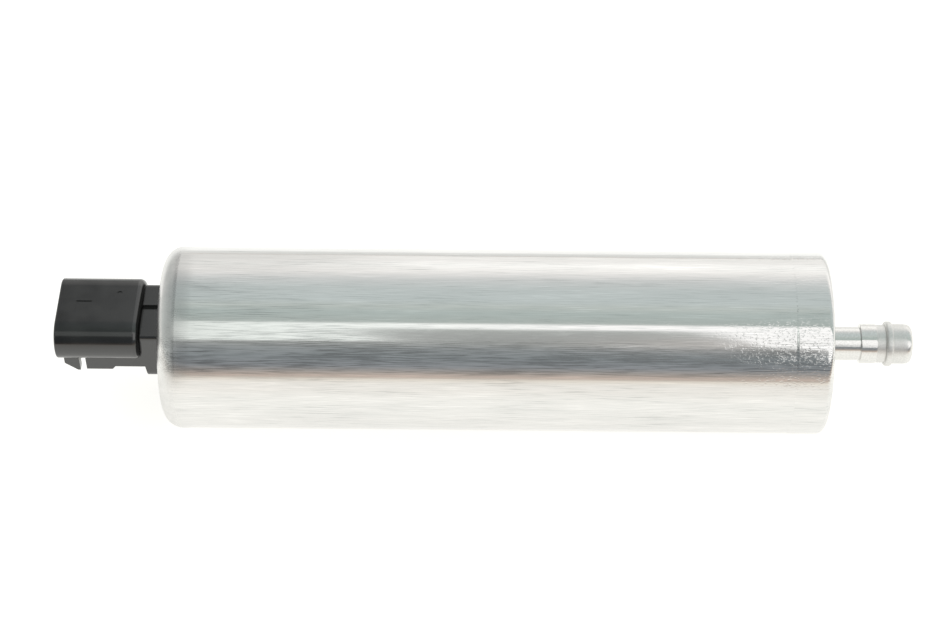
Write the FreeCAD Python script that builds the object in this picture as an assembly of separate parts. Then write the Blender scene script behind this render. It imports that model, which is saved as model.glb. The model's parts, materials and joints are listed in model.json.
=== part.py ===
import FreeCAD, Part
import math
import os

# Inline electric fuel pump: a rolled aluminium can with a hose nipple at each end and a moulded
# two-pin socket. Fuel enters at the +X nipple, a gerotor stage pushes it through the motor, and it
# leaves past a check valve through the nipple beside the socket at the -X end.
# Millimetres. +X runs along the can to the inlet nipple, +Z is up out of the socket's flat side.
# The origin is on the can's axis, halfway along the can. Angles turn about +X, from +Y to +Z.

Vector = FreeCAD.Vector
AXIS = Vector(1, 0, 0)

# Clearances
press_gap = 0.02
seat_gap = 0.05
shaft_gap = 0.03
running_gap = 0.10
loose_gap = 0.30

# Can
can_radius = 21.5
can_wall = 1.2
can_length = 155.5
can_lip_width = 3.5
shoulder_radius = 4.4
rim_radius = 1.6
band_length = 8.5
band_raise = 0.08
band_chamfer = 0.3

# Hose nipple, from the can's end outwards
pipe_radius = 4.0
nipple_bore_radius = 2.6
nipple_flange_radius = 5.3
nipple_flange_thickness = 1.2
pipe_length = 8.6
collar_radius = 4.7
collar_length = 3.9
waist_radius = 4.5
waist_length = 2.0
ridge_radius = 5.3
ridge_length = 1.8
ridge_round = 0.6
land_radius = 4.7
land_length = 3.2
tip_length = 1.4
tip_round = 1.3

# O-rings at both ends of the can
o_ring_cord = 2.0
o_ring_groove_width = 2.4

# Inlet end plate and its strainer
plate_thickness = 6.0
strainer_radius = 9.0
strainer_thickness = 1.0
strainer_hole_radius = 0.6
strainer_hole_rings = 4
strainer_ring_step = 1.9

# Rubber isolators round the inner module: pump stage, yoke and brush holder share one outside radius
isolator_wall = 1.3
isolator_flange = 1.5
isolator_lip = 1.5
isolator_skirt = 4.5

# Gerotor stage
inlet_plate_thickness = 5.0
ring_thickness = 8.0
port_plate_thickness = 8.0
spigot_length = 2.0
inner_lobes = 6
outer_lobes = inner_lobes + 1
eccentricity = 1.0
eccentric_angle = 90.0
tooth_circle_radius = 9.5
tooth_radius = 2.4
mesh_gap = 0.10
outer_rotor_wall = 2.2
rotor_side_gap = 0.05
port_half_angle = 60.0
port_inner_radius = 6.5
port_outer_radius = 9.3

# Screws that clamp the stage
screw_count = 3
screw_edge_distance = 3.0
screw_radius = 1.25
screw_head_radius = 2.25
screw_head_height = 2.0
screw_socket_radius = 1.1
screw_socket_depth = 1.2
screw_grip = 5.0

# Pressure relief valve, on the ring's thick side
relief_edge_distance = 4.0
relief_hole_radius = 1.25
relief_ball_radius = 1.9
relief_retainer_radius = 2.4
relief_retainer_length = 2.0
relief_retainer_bore = 1.0
relief_coil_radius = 1.5
relief_wire_radius = 0.2
relief_turns = 5
relief_travel = 1.2

# Shaft, bearings and drive
shaft_radius = 2.5
shaft_chamfer = 0.3
shaft_collar_radius = 3.4
bush_radius = 4.0
bush_length = 6.0
washer_radius = 3.8
washer_thickness = 0.6
dog_radius = 5.2
dog_thickness = 2.5
dog_recess_depth = 3.2
tang_inner_radius = 3.4
tang_outer_radius = 4.8
tang_length = 5.0
tang_half_angle = 20.0

# Motor
yoke_wall = 2.0
air_gap = 0.5
magnet_half_angle = 68.0
magnet_overhang = 5.0
clip_strip = 0.6
core_radius = 10.8
core_slots = 8
slot_half_angle = 14.0
slot_mouth_half_angle = 5.0
slot_bottom_radius = 5.2
slot_top_radius = 9.4
winding_end_length = 9.0
winding_end_radius = 9.6
winding_end_round = 2.5
winding_gap = 0.25
commutator_thickness = 5.0
commutator_radius = 10.5
commutator_face = 1.6
commutator_hub_radius = 4.4
segment_gap_half_angle = 2.0
winding_to_plate = 3.4

# Brush gear
holder_flange = 4.0
holder_spigot = 6.0
brush_circle_radius = 7.5
brush_radial = 4.6
brush_tangential = 6.0
brush_length = 14.0
brush_protrusion = 2.5
brush_travel = 3.0
tower_wall = 0.8
spring_room = 12.6
holder_window_half_angle = 24.0
holder_window_inner_radius = 6.6
holder_window_edge = 2.0
brush_coil_radius = 1.7
brush_wire_radius = 0.25
brush_turns = 7
pigtail_radius = 0.6
pigtail_slot_half_width = 1.0
pigtail_reach = 4.6

# Suppression chokes
choke_edge_distance = 3.1
choke_length = 20.75
choke_angle_plus = 78.0
choke_angle_minus = 150.0
choke_core_radius = 1.5
choke_wire_radius = 0.35
choke_turns = 10
choke_end_room = 1.5

# Check valve and outlet position
outlet_angle = -53.4
outlet_edge_distance = 4.72
valve_body_radius = 5.3
valve_body_wall = 1.1
valve_body_length = 15.0
valve_seat_thickness = 1.5
valve_seat_radius = 1.8
poppet_radius = 3.2
poppet_head_length = 2.2
poppet_nose_length = 1.2
poppet_stem_radius = 1.0
valve_coil_radius = 2.2
valve_wire_radius = 0.22
valve_turns = 6
valve_retainer_thickness = 1.5
valve_retainer_hole_radius = 0.75
valve_retainer_holes = 4
poppet_travel = 2.0

# Moulded end cap
cap_thickness = 8.0
cap_skirt_wall = 2.05
cap_shoulder_round = 3.3
cap_face_clearance = 0.1
outlet_boss_radius = 6.0
outlet_boss_length = 2.0

# Socket on the cap
socket_mouth_reach = 24.4
socket_rear_reach = 4.6
socket_width = 21.4
socket_height = 10.4
socket_above_outlet = 16.1
socket_corner = 5.0
socket_wall = 1.5
socket_back_wall = 3.0
socket_mouth_round = 0.4
socket_rear_round = 1.6
neck_half_width = 8.6
neck_top_above_centre = 3.3
neck_bottom_below_centre = 11.7
neck_bottom_reach = 3.75
neck_round = 1.0
neck_top_round = 1.6
neck_bottom_round = 2.5
neck_step_depth = 0.45
neck_step_edge_y = 1.0
neck_rib_width = 0.8
neck_rib_height = 0.35
gate_mark_radius = 0.6
gate_mark_depth = 0.2
gate_mark_reach = 10.2
gate_mark_y = 3.3
square_mark_size = 3.6
square_mark_depth = 0.2
square_mark_reach = 16.45
square_mark_y = -1.0

# Latch rails under the socket
rail_inner_y = 6.3
rail_width = 2.0
lug_front_reach = 23.15
lug_back_reach = 19.65
lug_depth = 3.85
lug_front_depth = 1.45
lug_land = 0.6
block_front_reach = 18.15
block_back_reach = 11.35
block_depth = 3.45
low_rail_back_reach = 4.35
low_rail_depth = 2.5
rail_chamfer = 0.7
rail_root = 1.2

# Terminals
blade_spacing = 8.0
blade_width = 2.8
blade_thickness = 0.8
blade_point = 0.5
blade_recess = 4.4
blade_inner_reach = 2.6

# Radii worked out from the sizes above
bore_radius = can_radius - can_wall
can_lip_radius = bore_radius - can_lip_width
module_radius = bore_radius - isolator_wall
yoke_bore_radius = module_radius - yoke_wall
magnet_inner_radius = core_radius + air_gap
screw_place_radius = module_radius - screw_edge_distance
relief_place_radius = module_radius - relief_edge_distance
skirt_bore_radius = bore_radius - seat_gap - cap_skirt_wall
choke_place_radius = skirt_bore_radius - choke_edge_distance
outlet_place_radius = can_lip_radius - outlet_edge_distance
outer_rotor_root_radius = tooth_circle_radius - tooth_radius + 2 * eccentricity + mesh_gap
outer_rotor_radius = outer_rotor_root_radius + outer_rotor_wall

# Places along the can from its inlet end
can_right_x = can_length / 2
plate_right_x = can_right_x - can_wall
plate_left_x = plate_right_x - plate_thickness
stage_right_x = plate_left_x - isolator_flange
ring_right_x = stage_right_x - inlet_plate_thickness
ring_left_x = ring_right_x - ring_thickness
port_plate_left_x = ring_left_x - port_plate_thickness
spigot_left_x = port_plate_left_x - spigot_length
core_right_x = spigot_left_x - winding_to_plate - winding_end_length
shaft_right_x = ring_right_x - loose_gap

# Places along the can from its socket end. The core and the yoke fill what is left between.
can_left_x = -can_length / 2
cap_left_x = can_left_x + can_wall
cap_right_x = cap_left_x + cap_thickness
blade_right_x = cap_right_x + blade_inner_reach
choke_left_x = blade_right_x + seat_gap
choke_right_x = choke_left_x + choke_length
holder_left_x = choke_right_x + seat_gap
rear_isolator_left_x = holder_left_x - isolator_flange
yoke_left_x = holder_left_x + holder_flange
holder_right_x = yoke_left_x + holder_spigot
commutator_left_x = holder_right_x + brush_protrusion
commutator_right_x = commutator_left_x + commutator_thickness
core_left_x = commutator_right_x + winding_gap + winding_end_length
brush_face_x = commutator_left_x - shaft_gap
brush_rear_x = brush_face_x - brush_length
tower_left_x = brush_rear_x - spring_room - tower_wall
magnet_right_x = core_right_x + magnet_overhang
magnet_left_x = core_left_x - magnet_overhang
shaft_left_x = holder_left_x + seat_gap
valve_left_x = cap_left_x + can_wall + valve_retainer_thickness + nipple_flange_thickness
valve_right_x = valve_left_x + valve_body_length
seat_left_x = valve_right_x - valve_seat_thickness

# Places round the axis
outlet_y = outlet_place_radius * math.cos(math.radians(outlet_angle))
outlet_z = outlet_place_radius * math.sin(math.radians(outlet_angle))
brush_angles = (outlet_angle + 90.0, outlet_angle + 270.0)
relief_angle = eccentric_angle + 180.0

# Places of the socket
socket_left_x = can_left_x - socket_mouth_reach
socket_right_x = can_left_x - socket_rear_reach
socket_centre_z = outlet_z + socket_above_outlet
socket_under_z = socket_centre_z - socket_height / 2
socket_top_z = socket_centre_z + socket_height / 2
neck_top_z = socket_centre_z + neck_top_above_centre
neck_bottom_z = socket_centre_z - neck_bottom_below_centre
blade_left_x = socket_left_x + blade_recess


# Helpers


def polar(radius, angle):
    """Y and Z of a point at this radius and angle about the can's axis."""
    turn = math.radians(angle)
    return radius * math.cos(turn), radius * math.sin(turn)


def loop(points):
    """Closed wire through (Vector, corner radius) pairs, with each corner rounded by its radius."""
    starts, ends, middles = [], [], []
    for index, (corner, radius) in enumerate(points):
        before = points[index - 1][0]
        after = points[(index + 1) % len(points)][0]
        if radius <= 0:
            starts.append(corner)
            ends.append(corner)
            middles.append(None)
            continue
        to_before = (before - corner).normalize()
        to_after = (after - corner).normalize()
        half = to_before.getAngle(to_after) / 2
        inward = (to_before + to_after).normalize()
        starts.append(corner + to_before * (radius / math.tan(half)))
        ends.append(corner + to_after * (radius / math.tan(half)))
        middles.append(corner + inward * (radius / math.sin(half) - radius))
    edges = []
    for index in range(len(points)):
        if middles[index] is not None:
            edges.append(Part.Arc(starts[index], middles[index], ends[index]).toShape())
        following = starts[(index + 1) % len(points)]
        if (following - ends[index]).Length > 1e-6:
            edges.append(Part.LineSegment(ends[index], following).toShape())
    return Part.Wire(edges)


def flat(outline, place):
    """Face from (a, b) or (a, b, corner radius) points, with place turning a, b into a Vector."""
    return Part.Face(loop([(place(p[0], p[1]), p[2] if len(p) > 2 else 0) for p in outline]))


def turned(outline, y=0.0, z=0.0):
    """Solid of revolution about the X direction from (x, radius) points."""
    face = flat(outline, lambda x, radius: Vector(x, radius, 0))
    solid = face.revolve(Vector(0, 0, 0), AXIS, 360)
    solid.translate(Vector(0, y, z))
    return solid


def along_x(outline, x_from, x_to):
    """Prism from (y, z) points between two places on X."""
    face = flat(outline, lambda y, z: Vector(x_from, y, z))
    return face.extrude(Vector(x_to - x_from, 0, 0))


def along_y(outline, y_from, y_to):
    """Prism from (x, z) points between two places on Y."""
    face = flat(outline, lambda x, z: Vector(x, y_from, z))
    return face.extrude(Vector(0, y_to - y_from, 0))


def rod(x_from, x_to, radius, y=0.0, z=0.0):
    return Part.makeCylinder(radius, x_to - x_from, Vector(x_from, y, z), AXIS)


def tube(x_from, x_to, outer, inner, y=0.0, z=0.0):
    return rod(x_from, x_to, outer, y, z).cut(rod(x_from, x_to, inner, y, z))


def sector(x_from, x_to, inner, outer, angle_from, angle_to):
    """Piece of a ring between two angles."""
    corners = [(x_from, inner), (x_to, inner), (x_to, outer), (x_from, outer)]
    face = flat(corners, lambda x, radius: Vector(x, radius, 0))
    face.rotate(Vector(0, 0, 0), AXIS, angle_from)
    return face.revolve(Vector(0, 0, 0), AXIS, angle_to - angle_from)


def kidney(x_from, x_to, inner, outer, middle_angle, half_angle):
    """Curved slot with round ends."""
    width = (outer - inner) / 2
    middle = (outer + inner) / 2
    slot = sector(x_from, x_to, inner, outer, middle_angle - half_angle, middle_angle + half_angle)
    for angle in (middle_angle - half_angle, middle_angle + half_angle):
        slot = slot.fuse(rod(x_from, x_to, width, *polar(middle, angle)))
    return slot.removeSplitter()


def block(x_from, x_to, radial, tangential, radius, angle):
    """Box square to the axis, centred at this radius and turned to this angle."""
    box = Part.makeBox(x_to - x_from, radial, tangential)
    box.translate(Vector(x_from, radius - radial / 2, -tangential / 2))
    box.rotate(Vector(0, 0, 0), AXIS, angle)
    return box


def arc_from(start, tangent, end):
    """Circular arc that leaves start along tangent and reaches end."""
    chord = end - start
    half = tangent.getAngle(chord) / 2
    toward = (tangent + chord * (1 / chord.Length)).normalize()
    middle = start + toward * (chord.Length / (2 * math.cos(half)))
    return Part.Arc(start, middle, end).toShape()


def biarc(start, start_tangent, end, end_tangent):
    """Two arcs that join two points with given directions."""
    chord = end - start
    both = start_tangent + end_tangent
    spread = 2 * (1 - start_tangent.dot(end_tangent))
    along = chord.dot(both)
    reach = (math.sqrt(along * along + spread * chord.dot(chord)) - along) / spread
    joint = (start + end + (start_tangent - end_tangent) * reach) * 0.5
    joint_tangent = ((end - end_tangent * reach) - (start + start_tangent * reach)).normalize()
    return [arc_from(start, start_tangent, joint), arc_from(joint, joint_tangent, end)]


def coil(x_from, x_to, coil_radius, wire_radius, turns, y=0.0, z=0.0, start_angle=0.0):
    """Helical wire between two faces on X, as one unbroken tube. Prints the gap between turns."""
    first = x_from + wire_radius
    pitch = (x_to - x_from - 2 * wire_radius) / turns
    print(f"coil gap {pitch - 2 * wire_radius:.2f} mm")

    def point(turn):
        cross = polar(coil_radius, start_angle + 360 * turn)
        return Vector(first + pitch * turn, y + cross[0], z + cross[1])

    def tangent(turn):
        cross = polar(2 * math.pi * coil_radius, start_angle + 360 * turn + 90)
        return Vector(pitch, cross[0], cross[1]).normalize()

    edges = []
    for step in range(2 * turns):
        here, there = step / 2, (step + 1) / 2
        edges += biarc(point(here), tangent(here), point(there), tangent(there))
    path = Part.Wire(edges)
    circle = Part.Circle(point(0), tangent(0), wire_radius).toShape()
    return path.makePipeShell([Part.Wire(circle)], True, False)


def bent_wire(points, wire_radius):
    """Round wire along straight runs with a tangent arc at each inner point."""
    edges = []
    start = points[0]
    for index in range(1, len(points) - 1):
        corner = points[index]
        to_before = (points[index - 1] - corner)
        to_after = (points[index + 1] - corner)
        trim = 0.45 * min(to_before.Length, to_after.Length)
        to_before.normalize()
        to_after.normalize()
        enter = corner + to_before * trim
        edges.append(Part.LineSegment(start, enter).toShape())
        edges.append(arc_from(enter, to_before * -1, corner + to_after * trim))
        start = corner + to_after * trim
    edges.append(Part.LineSegment(start, points[-1]).toShape())
    path = Part.Wire(edges)
    circle = Part.Circle(points[0], points[1] - points[0], wire_radius).toShape()
    return path.makePipeShell([Part.Wire(circle)], True, False)


# Can and hose nipples


def make_can():
    band_x = can_right_x - band_length
    band_radius = can_radius + band_raise
    inner_corner = shoulder_radius - can_wall
    return turned([
        (can_left_x, can_lip_radius),
        (can_left_x, can_radius, shoulder_radius),
        (band_x - band_chamfer, can_radius),
        (band_x, band_radius),
        (can_right_x, band_radius, rim_radius),
        (can_right_x, can_lip_radius),
        (plate_right_x, can_lip_radius),
        (plate_right_x, bore_radius),
        (cap_left_x, bore_radius, inner_corner),
        (cap_left_x, can_lip_radius),
    ])


def make_nipple(root, direction, y=0.0, z=0.0):
    """Hose nipple. root is the flange's outer face on X and direction is +1 or -1."""
    end_plane = can_right_x if direction > 0 else can_left_x
    collar_x = end_plane + direction * pipe_length
    waist_x = collar_x + direction * collar_length
    ridge_x = waist_x + direction * waist_length
    land_x = ridge_x + direction * ridge_length
    round_x = land_x + direction * land_length
    tip_x = round_x + direction * tip_length
    flange_x = root - direction * nipple_flange_thickness
    return turned([
        (flange_x, nipple_bore_radius),
        (flange_x, nipple_flange_radius),
        (root, nipple_flange_radius),
        (root, pipe_radius),
        (collar_x, pipe_radius),
        (collar_x, collar_radius),
        (waist_x, collar_radius),
        (waist_x, waist_radius),
        (ridge_x, waist_radius),
        (ridge_x, ridge_radius, ridge_round),
        (land_x, ridge_radius, ridge_round),
        (land_x, land_radius),
        (tip_x, land_radius, tip_round),
        (tip_x, nipple_bore_radius),
    ], y, z)


def ring_groove(middle_x):
    """Groove for an O-ring, cut inwards from the bore."""
    bottom = bore_radius - seat_gap - o_ring_cord - seat_gap
    half = o_ring_groove_width / 2
    return tube(middle_x - half, middle_x + half, bore_radius + can_wall, bottom)


def make_o_ring(middle_x):
    ring = Part.makeTorus(bore_radius - seat_gap - o_ring_cord / 2, o_ring_cord / 2)
    ring.rotate(Vector(0, 0, 0), Vector(0, 1, 0), 90)
    ring.translate(Vector(middle_x, 0, 0))
    return ring


# Inlet end

plate_ring_x = (plate_left_x + plate_right_x) / 2
inlet_flange_x = plate_left_x + strainer_thickness + nipple_flange_thickness


def make_inlet_end_plate():
    plate = rod(plate_left_x, plate_right_x, bore_radius - seat_gap)
    plate = plate.cut(ring_groove(plate_ring_x))
    plate = plate.cut(rod(plate_left_x, plate_left_x + strainer_thickness, strainer_radius + seat_gap))
    plate = plate.cut(rod(plate_left_x, inlet_flange_x, nipple_flange_radius + press_gap))
    return plate.cut(rod(plate_left_x, plate_right_x, pipe_radius + press_gap))


def make_inlet_strainer():
    strainer = rod(plate_left_x, plate_left_x + strainer_thickness, strainer_radius)
    strainer = strainer.cut(rod(plate_left_x, plate_right_x, strainer_hole_radius))
    for ring in range(1, strainer_hole_rings):
        holes = 6 * ring
        for index in range(holes):
            place = polar(ring * strainer_ring_step, 360 * index / holes)
            strainer = strainer.cut(rod(plate_left_x, plate_right_x, strainer_hole_radius, *place))
    return strainer


# Rubber isolators between the inner module and the can


def make_isolator(flange_from, flange_to, skirt_end):
    low, high = min(flange_from, skirt_end), max(flange_to, skirt_end)
    sleeve = tube(low, high, bore_radius - seat_gap, module_radius + seat_gap)
    flange = tube(flange_from, flange_to, bore_radius - seat_gap, module_radius - isolator_lip)
    return sleeve.fuse(flange).removeSplitter()


# Gerotor stage

screw_angles = [eccentric_angle + 360 * index / screw_count for index in range(screw_count)]
relief_y, relief_z = polar(relief_place_radius, relief_angle)
eccentric_y, eccentric_z = polar(eccentricity, eccentric_angle)
ball_seat_depth = math.sqrt(relief_ball_radius ** 2 - relief_hole_radius ** 2)
ball_x = ring_left_x + ball_seat_depth + shaft_gap


def screw_holes(x_from, x_to, radius):
    holes = [rod(x_from, x_to, radius, *polar(screw_place_radius, angle)) for angle in screw_angles]
    return Part.makeCompound(holes)


def make_pump_inlet_plate():
    plate = rod(ring_right_x, stage_right_x, module_radius)
    plate = plate.cut(kidney(ring_right_x, stage_right_x, port_inner_radius, port_outer_radius,
                             eccentric_angle - 90, port_half_angle))
    plate = plate.cut(screw_holes(ring_right_x, stage_right_x, screw_radius + running_gap))
    head_x = stage_right_x - screw_head_height
    plate = plate.cut(screw_holes(head_x, stage_right_x, screw_head_radius + running_gap))
    relief = rod(ring_right_x, stage_right_x, relief_retainer_radius, relief_y, relief_z)
    return plate.cut(relief)


def make_gerotor_ring():
    ring = rod(ring_left_x, ring_right_x, module_radius)
    ring = ring.cut(rod(ring_left_x, ring_right_x, outer_rotor_radius + seat_gap, eccentric_y, eccentric_z))
    ring = ring.cut(screw_holes(ring_left_x, ring_right_x, screw_radius + running_gap))
    return ring.cut(rod(ring_left_x, ring_right_x, relief_ball_radius + running_gap, relief_y, relief_z))


def make_port_plate():
    plate = rod(port_plate_left_x, ring_left_x, module_radius)
    plate = plate.fuse(rod(spigot_left_x, port_plate_left_x, yoke_bore_radius - press_gap))
    plate = plate.cut(kidney(spigot_left_x, ring_left_x, port_inner_radius, port_outer_radius,
                             eccentric_angle + 90, port_half_angle))
    plate = plate.cut(screw_holes(ring_left_x - screw_grip, ring_left_x, screw_radius + press_gap))
    plate = plate.cut(rod(ring_left_x - dog_recess_depth, ring_left_x, dog_radius + loose_gap))
    plate = plate.cut(rod(spigot_left_x, ring_left_x, bush_radius))
    return plate.cut(rod(spigot_left_x, ring_left_x, relief_hole_radius, relief_y, relief_z))


def lobe_profile():
    """Closed curve of the inner rotor: the path of a tooth centre, drawn in by the tooth radius."""
    points = []
    steps = 24 * inner_lobes
    for index in range(steps):
        turn = 2 * math.pi * index / steps
        swing = outer_lobes * turn + math.radians(eccentric_angle)
        y = tooth_circle_radius * math.cos(turn) + eccentricity * math.cos(swing)
        z = tooth_circle_radius * math.sin(turn) + eccentricity * math.sin(swing)
        slope_y = -tooth_circle_radius * math.sin(turn) - outer_lobes * eccentricity * math.sin(swing)
        slope_z = tooth_circle_radius * math.cos(turn) + outer_lobes * eccentricity * math.cos(swing)
        length = math.hypot(slope_y, slope_z)
        points.append(Vector(0, y - tooth_radius * slope_z / length, z + tooth_radius * slope_y / length))
    curve = Part.BSplineCurve()
    curve.interpolate(points, PeriodicFlag=True)
    return curve.toShape()


def make_inner_rotor():
    face = Part.Face(Part.Wire(lobe_profile()))
    face.translate(Vector(ring_left_x + rotor_side_gap, 0, 0))
    rotor = face.extrude(Vector(ring_thickness - 2 * rotor_side_gap, 0, 0))
    rotor = rotor.cut(rod(ring_left_x, ring_right_x, shaft_radius + shaft_gap))
    slot_end_x = ring_left_x + tang_length + loose_gap
    for angle in (0, 180):
        rotor = rotor.cut(sector(ring_left_x, slot_end_x, tang_inner_radius - running_gap,
                                 tang_outer_radius + running_gap, angle - tang_half_angle - 2,
                                 angle + tang_half_angle + 2))
    return rotor


def make_outer_rotor():
    left, right = ring_left_x + rotor_side_gap, ring_right_x - rotor_side_gap
    cavity = rod(left, right, outer_rotor_root_radius, eccentric_y, eccentric_z)
    for index in range(outer_lobes):
        tooth_y, tooth_z = polar(tooth_circle_radius, 360 * index / outer_lobes)
        cavity = cavity.cut(rod(left, right, tooth_radius - mesh_gap, eccentric_y + tooth_y,
                                eccentric_z + tooth_z))
    return rod(left, right, outer_rotor_radius, eccentric_y, eccentric_z).cut(cavity)


def make_drive_dog():
    right = ring_left_x - loose_gap
    dog = tube(right - dog_thickness, right, dog_radius, shaft_radius + press_gap)
    for angle in (0, 180):
        dog = dog.fuse(sector(right - dog_thickness / 2, ring_left_x + tang_length, tang_inner_radius,
                              tang_outer_radius, angle - tang_half_angle, angle + tang_half_angle))
    return dog.removeSplitter()


def make_pump_screws():
    screws = []
    for angle in screw_angles:
        place = polar(screw_place_radius, angle)
        head_x = stage_right_x - screw_head_height
        screw = rod(head_x, stage_right_x - seat_gap, screw_head_radius, *place)
        screw = screw.fuse(rod(ring_left_x - screw_grip + loose_gap, head_x, screw_radius, *place))
        socket_x = stage_right_x - seat_gap - screw_socket_depth
        corners = [polar(screw_socket_radius, 60 * side) for side in range(6)]
        socket = along_x([(place[0] + y, place[1] + z) for y, z in corners], socket_x, stage_right_x)
        screws.append(screw.cut(socket))
    return Part.makeCompound(screws)


def make_relief_spring():
    reach = relief_ball_radius + relief_wire_radius + seat_gap
    ball_side = ball_x + math.sqrt(reach ** 2 - relief_coil_radius ** 2) - relief_wire_radius
    retainer_x = stage_right_x - relief_retainer_length
    return coil(ball_side, retainer_x - seat_gap, relief_coil_radius, relief_wire_radius,
                relief_turns, relief_y, relief_z)


def make_relief_retainer():
    return tube(stage_right_x - relief_retainer_length, stage_right_x,
                relief_retainer_radius - press_gap, relief_retainer_bore, relief_y, relief_z)


# Motor


def make_shaft():
    collar_left_x = core_right_x + winding_end_length + loose_gap
    collar_right_x = spigot_left_x - 2 * seat_gap - washer_thickness
    return turned([
        (shaft_left_x, 0),
        (shaft_left_x, shaft_radius, shaft_chamfer),
        (collar_left_x, shaft_radius),
        (collar_left_x, shaft_collar_radius),
        (collar_right_x, shaft_collar_radius),
        (collar_right_x, shaft_radius),
        (shaft_right_x, shaft_radius, shaft_chamfer),
        (shaft_right_x, 0),
    ])


def make_magnet(middle_angle):
    return sector(magnet_left_x, magnet_right_x, magnet_inner_radius, yoke_bore_radius - seat_gap,
                  middle_angle - magnet_half_angle, middle_angle + magnet_half_angle)


def make_magnet_clip(middle_angle):
    """U-shaped strip that pushes the two magnets apart and against the yoke."""
    half = 90 - magnet_half_angle
    outer = yoke_bore_radius - seat_gap
    play = math.degrees(seat_gap / outer)
    strip = math.degrees(clip_strip / magnet_inner_radius)
    clip = sector(magnet_left_x, magnet_right_x, outer - clip_strip, outer,
                  middle_angle - half + play, middle_angle + half - play)
    for side in (-1, 1):
        edges = sorted((middle_angle + side * (half - play - strip), middle_angle + side * (half - play)))
        clip = clip.fuse(sector(magnet_left_x, magnet_right_x, magnet_inner_radius + loose_gap, outer,
                                *edges))
    return clip.removeSplitter()


def slot_cutter(x_from, x_to, spare):
    """Slots between the armature teeth. spare draws the walls in, for the wire that fills them."""
    slots = []
    for index in range(core_slots):
        middle = 360 * index / core_slots
        play = math.degrees(spare / slot_bottom_radius)
        slots.append(sector(x_from, x_to, slot_bottom_radius + spare, slot_top_radius - spare,
                            middle - slot_half_angle + play, middle + slot_half_angle - play))
    return slots


def make_armature_core():
    core = tube(core_left_x, core_right_x, core_radius, shaft_radius + press_gap)
    core = core.cut(Part.makeCompound(slot_cutter(core_left_x, core_right_x, 0)))
    mouths = [sector(core_left_x, core_right_x, slot_top_radius - loose_gap, core_radius + loose_gap,
                     360 * index / core_slots - slot_mouth_half_angle,
                     360 * index / core_slots + slot_mouth_half_angle) for index in range(core_slots)]
    return core.cut(Part.makeCompound(mouths))


def make_armature_winding():
    inner = shaft_radius + loose_gap
    ends = []
    for near, far in ((core_left_x, core_left_x - winding_end_length),
                      (core_right_x, core_right_x + winding_end_length)):
        ends.append(turned([
            (near, inner),
            (near, winding_end_radius),
            (far, winding_end_radius, winding_end_round),
            (far, inner, winding_end_round),
        ]))
    filling = slot_cutter(core_left_x, core_right_x, running_gap)
    return ends[0].multiFuse([ends[1]] + filling)


def make_commutator_hub():
    hub = rod(commutator_left_x + commutator_face, commutator_right_x, commutator_radius)
    hub = hub.fuse(rod(commutator_left_x, commutator_right_x, commutator_hub_radius))
    boss_left_x = holder_right_x + 2 * seat_gap + washer_thickness
    hub = hub.fuse(rod(boss_left_x, commutator_left_x, shaft_collar_radius))
    return hub.cut(rod(boss_left_x, commutator_right_x, shaft_radius + press_gap))


def make_commutator_segments():
    step = 360 / core_slots
    return Part.makeCompound([
        sector(commutator_left_x, commutator_left_x + commutator_face, commutator_hub_radius + seat_gap,
               commutator_radius, step * index + segment_gap_half_angle,
               step * (index + 1) - segment_gap_half_angle)
        for index in range(core_slots)
    ])


# Brush gear


def make_brush_holder():
    holder = rod(holder_left_x, yoke_left_x, module_radius)
    holder = holder.fuse(rod(yoke_left_x, holder_right_x, yoke_bore_radius - press_gap))
    for angle in brush_angles:
        holder = holder.fuse(block(tower_left_x, holder_left_x, brush_radial + 2 * (running_gap + tower_wall),
                                   brush_tangential + 2 * (running_gap + tower_wall),
                                   brush_circle_radius, angle))
    for angle in brush_angles:
        holder = holder.cut(block(tower_left_x + tower_wall, holder_right_x, brush_radial + 2 * running_gap,
                                  brush_tangential + 2 * running_gap, brush_circle_radius, angle))
        slot_length = brush_travel + holder_left_x - brush_rear_x + loose_gap
        holder = holder.cut(block(holder_left_x - slot_length, holder_left_x, brush_radial,
                                  2 * pigtail_slot_half_width, brush_circle_radius + brush_radial / 2, angle))
    for angle in (outlet_angle, outlet_angle + 180):
        holder = holder.cut(sector(holder_left_x, holder_right_x, holder_window_inner_radius,
                                   yoke_bore_radius - holder_window_edge,
                                   angle - holder_window_half_angle, angle + holder_window_half_angle))
    return holder.cut(rod(holder_left_x, holder_right_x, bush_radius))


def make_brush(angle):
    return block(brush_rear_x, brush_face_x, brush_radial, brush_tangential, brush_circle_radius, angle)


def make_brush_spring(angle):
    return coil(tower_left_x + tower_wall + seat_gap, brush_rear_x - seat_gap, brush_coil_radius,
                brush_wire_radius, brush_turns, *polar(brush_circle_radius, angle))


def make_pigtail(angle, choke_angle):
    x = holder_left_x - pigtail_radius - running_gap
    brush_side = brush_circle_radius + brush_radial / 2 + seat_gap
    choke = Vector(x, *polar(choke_place_radius, choke_angle))
    bend = Vector(x, *polar(brush_side + pigtail_reach, angle))
    coil_outside = choke_core_radius + 2 * choke_wire_radius + seat_gap
    toward = (bend - choke).normalize()
    end = choke + toward * (coil_outside + seat_gap)
    return bent_wire([Vector(x, *polar(brush_side, angle)), bend, end], pigtail_radius)


def make_choke_core(angle):
    return rod(choke_left_x, choke_right_x, choke_core_radius, *polar(choke_place_radius, angle))


def make_choke_coil(angle):
    return coil(choke_left_x + choke_end_room, choke_right_x - choke_end_room,
                choke_core_radius + choke_wire_radius + seat_gap, choke_wire_radius, choke_turns,
                *polar(choke_place_radius, angle))


# Check valve


def make_valve_body():
    body = rod(valve_left_x, valve_right_x, valve_body_radius, outlet_y, outlet_z)
    hollow = valve_body_radius - valve_body_wall
    body = body.cut(rod(valve_left_x, seat_left_x, hollow, outlet_y, outlet_z))
    return body.cut(rod(valve_left_x, valve_right_x, valve_seat_radius, outlet_y, outlet_z))


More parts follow.
